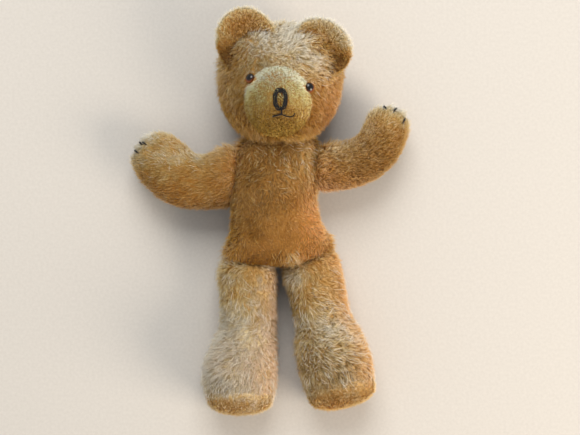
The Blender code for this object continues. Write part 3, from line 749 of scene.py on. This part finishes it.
# for each ear: its middle in millimetres, how pale its rim is, partly painted light, how deep the painted
# shade in its cup is, and its seed
EARS = [("right", (-29.5, 159.5, 66), 0.52, 0.3, 40),
        ("left", (44, 154.5, 66), 0.72, 0.6, 50)]
for side, middle, rim_pale_and_lit, cup_shade_depth, seed in EARS:
    front, back = covers = panels(side + "_ear")
    ear_seams = [side_seam(covers)]
    ear = placed(side + "_ear", mesh_of(side + "_ear", solid_of(covers)))
    regridded(ear, EAR_GRID)
    smoothed(ear, 3)
    places, outward = points_of(ear)
    move_points(ear, places + outward * (EAR_PUFF + 0.5 * MM * noise_at(places, 9 * MM, seed))[:, None])
    ear.data.shade_smooth()
    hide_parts(*covers)
    places, _, coat = fields_of(ear, ear_seams, comb_from=middle, length=4.6 * MM, swirl=0.8,
                                base_fading_and_light=0.32, window=0.18, seed=seed)
    inside = distance(tree_of([front]), places) < distance(tree_of([back]), places)
    rim = np.exp(-(seam_distance(places, ear_seams) / (np.where(inside, 4.6, 5.5) * MM)) ** 2)
    # the rim is paler towards the top, as painted light from above
    rim = rim * np.clip(0.5 + (places[:, 1] / MM - middle[1] + 10) / 24, 0.15, 1)
    from_head = distance(head_tree, places)
    # painted shade in the cup, deepest next to the head
    cup_shade = inside * np.exp(-(from_head / (15 * MM)) ** 2) * (1 - rim)
    # the inside is darker, partly its colour and partly painted shade
    coat["fading_and_light"] += rim_pale_and_lit * rim - 0.52 * inside * (1 - rim) - cup_shade_depth * cup_shade
    coat["gold_and_glow"] = 0.15 * inside * (1 - rim)
    # the cup's grime is painted shade
    coat["grime_and_shade"] = coat["grime_and_shade"] * (1 - rim) * 0.7 + 0.3 * cup_shade
    coat["thick"] = 1 + 0.8 * rim
    coat["long"] = 4.4 * MM * np.where(inside, 0.8, 1.0) * (1 + 0.25 * rim)
    coat["long"] *= 1 + 0.7 * np.exp(-(from_head / (5 * MM)) ** 2)
    lined(ear, coat["fading_and_light"] - 0.05)
    pile(side + "_ear_pile", ear, coat, 8500, 0.4 * MM, matting=0.5, loose=0.28, seed=seed + 5,
         keep_off=[head_tree])

# ================================================================ the arms
# Each arm is a bent tube of a front and a back panel, stuffed and sewn to the body, with no joint. The ends
# of the paws are pale, partly worn and partly painted light, with a shaggy edge that is short and flat
# round the claws. The undersides are gold, partly old dye and partly a painted glow of light thrown up from
# below.

# for each arm: where it is sewn on, its paw and a pale spot, in millimetres, how pale it is, partly faded
# and partly painted light, how much more so at the end of the paw, how much old gold is left at the
# armhole, and its seed
ARMS = [("right", (-18, 34, 36), (-140, 62, 30), (-90, 48, 60), 0.33, 0.22, 0.35, 60),
        ("left", (16, 30, 36), (122, 95, 30), (56, 56, 50), 0.13, 0.46, 0.1, 70)]
# the two ends of each claw in millimetres
CLAWS = {"right": [[(-139.4, 63.8), (-136.2, 61.2)], [(-134.8, 62.2), (-130.8, 60.2)],
                   [(-143.2, 55.5), (-138.6, 52.1)]],
         "left": [[(109.5, 99), (107.3, 96.2)], [(120.5, 97.2), (116.7, 92.4)],
                  [(127.8, 87.3), (124.4, 81.7)]]}
for side, shoulder, paw, pale_spot, base_fading_and_light, tip_fading_and_light, armhole_gold, seed in ARMS:
    covers = panels(side + "_arm")
    arm_seams = [side_seam(covers)]
    arm = stuffed(side + "_arm", covers, [side + "_arm_stuffing"], arm_seams,
                  [*body_covers, "head_face_panel", "head_back_panel"])
    places, outward, coat = fields_of(arm, arm_seams, comb_from=shoulder, length=5.4 * MM, swirl=1.0,
                                      base_fading_and_light=base_fading_and_light, window=0.22, seed=seed)
    tip = near(places, paw, (30, 28, 50))
    edge = tip * (1 - np.abs(outward[:, 2]))
    fluff = near(places, (shoulder[0] * 3, 60, 50), (16, 12, 30))
    armhole = near(places, (shoulder[0] * 2.6, 30, 50), (12, 22, 50))
    by_claw = np.exp(-(line_gap(places, CLAWS[side]) / (2.2 * MM)) ** 2)
    # the end and edges of the paw are paler, partly worn and partly painted light
    coat["fading_and_light"] += tip_fading_and_light * tip + 0.4 * edge + 0.22 * near(places, pale_spot, (28, 13, 50))
    coat["fading_and_light"] += 0.12 * noise_at(places, 11 * MM, seed + 7)
    # gold near the shoulder, and on the underside a painted warm glow of light thrown up from below
    gold_and_glow = 0.3 * near(places, shoulder, (50, 30, 50)) + 0.3 * np.clip(-outward[:, 1], 0, 1)
    coat["gold_and_glow"] = gold_and_glow * (1 - 0.8 * tip) + armhole_gold * armhole
    coat["grime_and_shade"] += 0.42 * near(places, (82, 52, 60), (32, 25, 50))
    coat["swirl"] *= 0.45
    coat["ruffle"] *= 0.4 + 0.8 * armhole
    coat["long"] *= (1 - 0.2 * tip + 0.7 * edge + 0.9 * fluff + 0.4 * armhole) * (1 - 0.6 * by_claw)
    coat["lean"] += 0.08 - 0.4 * edge * (1 - by_claw) - 0.2 * fluff
    coat["thick"] *= 1 + 0.5 * edge
    lined(arm, coat["fading_and_light"] - 0.05)
    pile(side + "_arm_pile", arm, coat, 15500, 0.42 * MM, matting=0.25, loose=0.3, seed=seed + 5,
         keep_off=[body_tree, head_tree])
    wisps(side + "_arm_wisps", arm, coat, 0.6 * tip + 0.5 * near(places, pale_spot, (28, 20, 50)),
          count=130, length=6 * MM, palest=0.55, seed=seed + 8)

# ================================================================ the legs
# Each leg is a straight tube that turns up into a foot, closed by an oval sole of shorn plush. The insteps
# have the longest, palest pile, the thighs are darker, and both feet are grimy. The paleness and darkness
# are partly their own colour and partly painted light that is brighter towards the feet, and the side that
# faces the warm lamp is painted paler and gold as a painted warm glow.

# for each leg: the other leg, then in millimetres where it is sewn on, its instep, where across it the hang
# of the pile over the sole begins to lessen, and how far the sole bulges. Then how far the pile turns on
# the instep, how pale it is, partly faded and partly painted light, how much more so on the instep, how
# free of grime that is, and its seed
LEGS = [("right", "left", (-12, -20, 50), (-44, -150, 80), -46, 2.5, -0.25, 0.68, 0.38, 1.0, 80),
        ("left", "right", (26, -20, 50), (50, -130, 80), 90, 4.5, 1.1, 0.54, 0.02, 0.4, 90)]
FOOT_GRIME = [(0.35, (60, -168, 100), (30, 18, 50)),
              (0.45, (50, -158, 100), (35, 20, 50)),
              (0.4, (-60, -178, 100), (16, 9, 50))]
FOOT_TOP = 55 * MM          # the upper half of a foot is above this height over the table
for side, other, hip, instep, inner, bulge, turn, base_fading_and_light, instep_fading_and_light, clean, seed in LEGS:
    covers = panels(side + "_leg")
    sole = side + "_sole"
    leg_seams = [side_seam(covers), ([sole], covers)]
    leg = stuffed(side + "_leg", [*covers, sole], [side + "_leg_stuffing"], leg_seams,
                  [*body_covers, other + "_leg_front_panel"])
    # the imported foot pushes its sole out
    places, outward = points_of(leg)
    past_seam = distance(tree_of(covers), places) - distance(tree_of([sole]), places)
    move_points(leg, places + outward * (bulge * MM * np.clip(past_seam / (9 * MM), 0, 1))[:, None])
    places, outward, coat = fields_of(leg, leg_seams, comb_from=hip, length=6.4 * MM, swirl=1.0,
                                      base_fading_and_light=base_fading_and_light, window=0.2, seed=seed)
    # the pile of the foot hangs over the upper edge of the sole
    on_sole = past_seam > 0
    hang = (8 - 4 * np.clip((places[:, 0] - inner * MM) / (12 * MM), 0, 1)) * MM
    fringe = (places[:, 2] > FOOT_TOP) * np.clip((hang - past_seam) / (2 * MM), 0, 1)
    line = (places[:, 2] > FOOT_TOP) * np.exp(-((past_seam - hang) / (1.2 * MM)) ** 2)
    # the places where the coat differs
    top = near(places, instep, (35, 30, 40))
    hip_corner = near(places, (-56, -62, 30), (20, 20, 50))
    leftward = np.clip(outward[:, 0], 0, 1)
    # paler at the instep and darker at the hip, partly its colour and partly painted light that is brighter
    # towards the feet; paler on the side facing the warm lamp, as painted light
    coat["fading_and_light"] += instep_fading_and_light * top - 0.28 * near(places, hip, (50, 50, 60)) + 0.16 * leftward
    # gold on the side facing the warm lamp is a painted warm glow; there is more gold at the hip
    coat["gold_and_glow"] = 0.75 * leftward + 0.3 * near(places, hip, (40, 30, 60))
    coat["grime_and_shade"] += 0.12 * near(places, (hip[0], -60, 80), 30)
    coat["swirl"] = coat["swirl"] * (1 - 0.5 * top) + turn * near(places, instep, (40, 45, 60))
    coat["ruffle"] = 0.7 + 0.5 * top
    coat["long"] *= (1 + 0.3 * hip_corner) * (1 + 0.7 * top)
    coat["lean"] -= 0.1 * top + 0.2 * hip_corner
    if side == "right":
        # faded in patches, most of all on the outside of the ankle and least on the shin
        patchy = noise_at(places, 10 * MM, 86)
        ankle = near(places, (-52, -118, 80), (20, 20, 40))
        shin = near(places, (-32, -78, 70), (30, 22, 40))
        coat["fading_and_light"] += 0.18 * patchy + 0.1 * leftward + 0.3 * ankle - 0.16 * shin
        # on this leg the instep is more gold and the side facing the lamp less gold, as painted warm light
        coat["gold_and_glow"] += 0.2 * top - 0.2 * leftward
        coat["grime_and_shade"] += 0.12 * np.clip(-patchy, 0, 1)
    else:
        # a pale band over the ankle, a bleached tuft at the top of the inside and a wisp by the sole
        tuft = near(places, (15, -69, 70), (13, 13, 40))
        wisp = near(places, (17, -141, 60), (12, 12, 40))
        coat["fading_and_light"] += 0.42 * tuft + 0.2 * near(places, (42, -120, 90), (30, 12, 50))
        coat["long"] *= (1 + 0.5 * tuft) * (1 + 0.6 * wisp)
        coat["lean"] -= 0.25 * tuft + 0.3 * wisp
    coat["grime_and_shade"] *= 1 - clean * top
    for amount, spot, reach in FOOT_GRIME:
        coat["grime_and_shade"] += amount * near(places, spot, reach)
    lined(leg, coat["fading_and_light"] - 0.05)
    upper = {**coat, "thick": np.clip(coat["thick"], 0.05, 2) * np.where(on_sole, fringe, 1),
             "long": coat["long"] * np.where(on_sole, 0.6, 1)}
    pile(side + "_leg_pile", leg, upper, 18200, 0.44 * MM, matting=0.5, loose=0.35, seed=seed + 5,
         keep_off=[body_tree])
    wisps(side + "_leg_wisps", leg, coat, top ** 0.6 * ~on_sole, count=520, length=11 * MM, palest=0.62,
          seed=seed + 7)
    shorn = {**coat, "thick": on_sole * (1 - 0.7 * fringe) * (1 - 0.8 * line),
             "fading_and_light": coat["fading_and_light"] + 0.06 - 0.45 * line, "grime_and_shade": 0.8 * coat["grime_and_shade"],
             "gold_and_glow": np.full(len(places), 0.25), "long": np.full(len(places), 5.2 * MM),
             "lean": np.full(len(places), 0.7), "comb": np.tile([0.0, -0.2, 1.0], (len(places), 1))}
    pile(side + "_sole_pile", leg, shorn, 4700, 0.5 * MM, matting=0.5, loose=0.1, seed=seed + 6)

# ================================================================ the eyes
# Glass domes, black in the middle and amber at the edge, on steel stems that go through the face to a
# washer. The washers are never seen, and are plain zinc-plated steel.

EYE_RADIUS = 5.0 * MM
EYE_HEIGHT = 3.4 * MM       # of the dome over its rim
EYE_FOOT = 1.6 * MM         # how far the glass goes on below its rim
EYE_LIFT = 1.9 * MM         # of the rim over the cloth
eye_glass, tree, shader = new_material("eye glass", Roughness=0.06, IOR=1.52)
gap = add(tree, "ShaderNodeAttribute", {"attribute_name": "from_middle"})
iris = add(tree, "ShaderNodeValToRGB", Fac=(gap, "Fac"), stops=[
    (0.0, "#050404"), (0.56, "#070504"), (0.7, "#2b1409"), (0.9, "#6b3413"), (1.0, "#8a4a20")])
place = add(tree, "ShaderNodeTexCoord")
specks = add(tree, "ShaderNodeTexNoise", Vector=(place, "Object"), Scale=1 / (0.8 * MM))
flaw = add(tree, "ShaderNodeMapRange", Value=(specks, "Fac"), To_Min=0.04, To_Max=0.12)
fed(tree, shader, Base_Color=(iris, "Color"), Roughness=(flaw, "Result"))
for name, x, y in EYES:
    spot, facing, _, _ = head_tree.ray_cast(Vector((x, y, 0.2)), Vector((0, 0, -1)))
    bm = bmesh.new()
    profile = [bm.verts.new((EYE_RADIUS * math.sin(a), 0, EYE_HEIGHT * math.cos(a)))
               for a in np.linspace(0, math.pi / 2, 9)]
    profile.append(bm.verts.new((EYE_RADIUS * 0.9, 0, -EYE_FOOT)))
    profile.append(bm.verts.new((0, 0, -EYE_FOOT)))
    edges = [bm.edges.new(pair) for pair in zip(profile, profile[1:])]
    bmesh.ops.spin(bm, geom=profile + edges, cent=(0, 0, 0), axis=(0, 0, 1), angle=2 * math.pi, steps=32,
                   use_merge=True)
    bmesh.ops.remove_doubles(bm, verts=bm.verts, dist=1e-6)
    bmesh.ops.recalc_face_normals(bm, faces=bm.faces)
    # the black middle sits a little towards the muzzle
    turn = facing.to_track_quat("Z", "Y").to_matrix().to_4x4()
    inward = turn.to_3x3().transposed() @ Vector((1.5 * MM * (1 if x < NOSE[0] else -1), 0.5 * MM, 0))
    middle_gap = [min(1.0, (v.co.xy - inward.xy * (v.co.z > 0)).length / EYE_RADIUS) for v in bm.verts]
    bmesh.ops.transform(bm, verts=bm.verts, matrix=Matrix.Translation(spot + facing * EYE_LIFT) @ turn)
    eye = placed(name + "_glass", mesh_of(name + "_glass", bm))
    stored(eye.data, "from_middle", middle_gap)
    eye.data.materials.append(eye_glass)
    eye.data.shade_smooth()
    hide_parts(name)

washer_steel, tree, shader = new_material("zinc-plated washer steel", Metallic=1.0, Roughness=0.4)
place = add(tree, "ShaderNodeTexCoord")
mottle = add(tree, "ShaderNodeTexNoise", Vector=(place, "Object"), Scale=1 / (1.5 * MM))
zinc = add(tree, "ShaderNodeValToRGB", Fac=(mottle, "Fac"), stops=[(0.3, "#8f9092"), (0.7, "#b4b5b6")])
fed(tree, shader, Base_Color=(zinc, "Color"))
for side in ("right", "left"):
    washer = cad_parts[side + "_eye_washer"]
    washer.data.materials.clear()
    washer.data.materials.append(washer_steel)

# ================================================================ the nose, the mouth and the claws
# Black wool yarn of two plies. The nose is a ring of three turns, the mouth is three thin stitches, and
# each claw is one stitch. Their ends go into the cloth.

wool, tree, shader = new_material(
    "black wool yarn", Roughness=0.9, Specular_IOR_Level=0.2, Sheen_Weight=0.2)
place = add(tree, "ShaderNodeTexCoord")
fuzz = add(tree, "ShaderNodeTexNoise", Vector=(place, "Object"), Scale=1 / (0.5 * MM), Detail=4.0)
rub = add(tree, "ShaderNodeValToRGB", Fac=(fuzz, "Fac"),
          stops=[(0.3, "#0b0a0a"), (0.6, "#191614"), (0.85, "#332b24")])
nap = add(tree, "ShaderNodeBump", Height=(fuzz, "Fac"), Strength=0.7, Distance=0.2 * MM)
fed(tree, shader, Base_Color=(rub, "Color"), Normal=(nap, "Normal"))


def laid(tree, x, y, above):
    """The place above, or under, the skin at x, y, seen from over the bear."""
    spot, facing, _, _ = tree.ray_cast(Vector((x, y, 0.2)), Vector((0, 0, -1)))
    if spot is None or facing.z < 0.25:
        spot, facing, _, _ = tree.find_nearest(Vector((x, y, 0.045)))
    return spot + facing * above


def ply(bm, path, radius, offset, twist, phase, closed):
    """One ply of a yarn: a round strand that winds round the path at an offset."""
    path = [Vector(p) for p in path]
    count = len(path)
    rings = []
    travelled = 0
    for i, point in enumerate(path):
        ahead = path[(i + 1) % count] if closed or i + 1 < count else point
        behind = path[i - 1] if closed or i else point
        along = (ahead - behind).normalized()
        travelled += (point - path[i - 1]).length if i else 0
        across = along.cross(Vector((0, 0, 1))).normalized()
        up = across.cross(along)
        angle = phase + 2 * math.pi * travelled / twist
        centre = point + across * offset * math.cos(angle) + up * offset * math.sin(angle)
        taper = 1 if closed else min(1.0, 0.45 + 0.4 * min(i, count - 1 - i))
        facing = Matrix((across, up, along)).transposed().to_4x4()
        rings.append(bmesh.ops.create_circle(bm, segments=7, radius=radius * taper,
                                             matrix=Matrix.Translation(centre) @ facing)["verts"])
    for one, other in zip(rings, rings[1:] + rings[:1] if closed else rings[1:]):
        edges = [e for ring in (one, other) for e in {e for v in ring for e in v.link_edges
                                                      if e.other_vert(v) in ring}]
        bmesh.ops.bridge_loops(bm, edges=list(dict.fromkeys(edges)))
    if not closed:
        for ring in (rings[0], rings[-1]):
            bmesh.ops.contextual_create(bm, geom=ring)


def yarn(name, loops, radius, twist, closed=False):
    """A yarn piece of two plies along each of its loops. It stands for the CAD node of the same name."""
    bm = bmesh.new()
    for path in loops:
        for phase in (0, math.pi):
            ply(bm, path, radius * 0.62, radius * 0.48, twist, phase, closed)
    bmesh.ops.recalc_face_normals(bm, faces=bm.faces)
    piece = placed(name + "_yarn", mesh_of(name + "_yarn", bm))
    piece.data.materials.append(wool)
    piece.data.shade_smooth()
    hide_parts(name)


def stitched(tree, points, above, steps=12):
    """A path over the skin through these points in millimetres, its two ends under the cloth."""
    points = [np.array(p) * MM for p in points]
    path = []
    for k, t in enumerate(np.linspace(0, len(points) - 1, steps)):
        i = min(int(t), len(points) - 2)
        x, y = points[i] + (points[i + 1] - points[i]) * (t - i)
        height = above if 0 < k < steps - 1 else -0.8 * MM
        path.append(laid(tree, x, y, height))
    return path


def fuller(wave):
    """A sine or cosine wave with fuller shoulders, which draws a rounded oblong in place of an oval."""
    return math.copysign(abs(wave) ** 0.8, wave)


# three turns, each inside the last, drawn in a little at the middle of the top
loops = []
for inset in (0, 1.35, 2.7):
    ring = []
    for t in np.linspace(0, 2 * math.pi, 64, endpoint=False):
        slack = 0.5 * noise.noise(Vector((math.cos(t) * 2, math.sin(t) * 2, inset)))
        slack -= 0.9 * math.exp(-((t - math.pi / 2) / 0.25) ** 2)
        x = NOSE[0] + fuller(math.cos(t)) * (6.1 - inset + slack) * MM
        y = NOSE[1] + fuller(math.sin(t)) * (9.8 - inset + slack) * MM
        ring.append(laid(head_tree, x, y, (0.7 + 0.25 * (inset > 0)) * MM))
    loops.append(ring)
yarn("nose_stitching", loops, 0.85 * MM, 3.6 * MM, closed=True)
for name, points, thickness in MOUTH:
    yarn(name, [stitched(head_tree, points, 1.3 * MM)], thickness * MM, 2.4 * MM)
for side, stitches in CLAWS.items():
    arm_tree = tree_of_skin(bpy.data.objects[side + "_arm"])
    for number, points in enumerate(stitches, 1):
        yarn(f"{side}_claw_{number}", [stitched(arm_tree, points, 2.2 * MM, 8)], 0.9 * MM, 2.6 * MM)

# ================================================================ the table, the lamps and the camera
# A pale studio table, a wide soft lamp beyond the bear's head, a smaller warm lamp low on its left, and
# even light from all round.

bm = bmesh.new()
bmesh.ops.create_grid(bm, x_segments=1, y_segments=1, size=4)
table = shown("table", mesh_of("table", bm))
paper, tree, shader = new_material("matt background paper", Roughness=0.9, Specular_IOR_Level=0.1)
place = add(tree, "ShaderNodeTexCoord")
grain = add(tree, "ShaderNodeTexNoise", Vector=(place, "Object"), Scale=1 / (3 * MM))
tone = add(tree, "ShaderNodeValToRGB", Fac=(grain, "Fac"), stops=[(0.3, "#c7c3bd"), (0.7, "#cdc9c3")])
fed(tree, shader, Base_Color=(tone, "Color"))
table.data.materials.append(paper)

LAMPS = [("window lamp", (-0.1, 1.7, 1.9), 1.6, 50, (1.0, 0.985, 0.96)),
         ("warm side lamp", (1.6, -0.85, 1.05), 1.2, 38, (1.0, 0.86, 0.70))]
for name, place, size, power, tint in LAMPS:
    light = bpy.data.lights.new(name, "AREA")
    light.size = size
    light.energy = power
    light.color = tint
    lamp = shown(name, light)
    lamp.location = place
    lamp.rotation_euler = (Vector((0, 0, 0.03)) - lamp.location).to_track_quat("-Z", "Y").to_euler()
world = bpy.data.worlds.new("studio")
world.use_nodes = True
world.node_tree.nodes["Background"].inputs["Color"].default_value = colour("#fbfaf8")
world.node_tree.nodes["Background"].inputs["Strength"].default_value = 0.54
bpy.context.scene.world = world
bpy.context.scene.view_settings.view_transform = "Standard"

view = bpy.data.cameras.new("camera")
view.sensor_width = 36
view.lens = 62.07
camera = shown("camera", view)
camera.location = (0.013, -0.0125, 1.05)
bpy.context.scene.camera = camera
